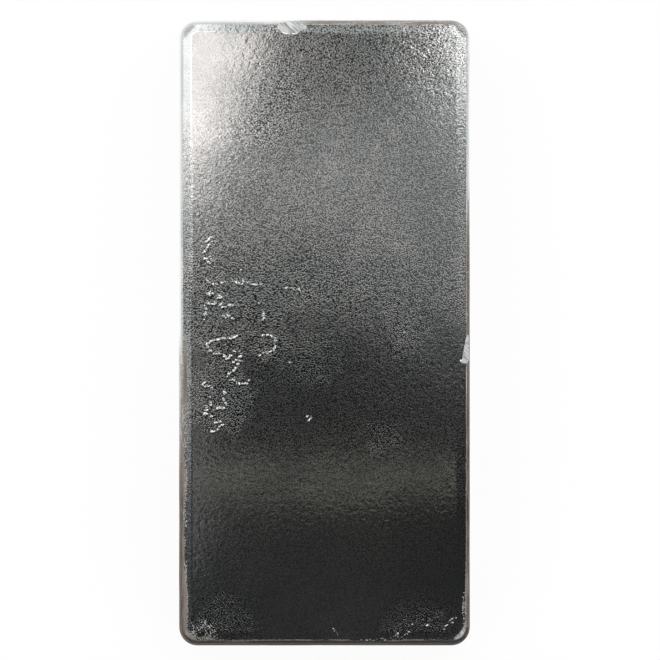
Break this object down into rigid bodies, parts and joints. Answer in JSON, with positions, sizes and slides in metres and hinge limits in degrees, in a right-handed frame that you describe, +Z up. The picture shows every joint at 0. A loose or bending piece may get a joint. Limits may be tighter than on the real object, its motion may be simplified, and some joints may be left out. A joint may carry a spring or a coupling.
{
  "type": "metal ingot",
  "caption": "Flat cast bar of white metal with drafted sides, rounded corners and edges, a shallow shrinkage hollow underneath, and a small dent and nick in its upper edges.",
  "frame": {"origin": "middle of the base, on the plane that the bar rests on", "axes": "+Z up, out of the mould face; +Y along the bar, towards the end with the dent; +X across it, towards the long side with the nick"},
  "size_m": [0.0544, 0.117, 0.0155],
  "materials": {
    "cast_metal": "satin"
  },
  "bodies": {
    "root": {"ingot": "cast_metal"}
  },
  "joints": []
}
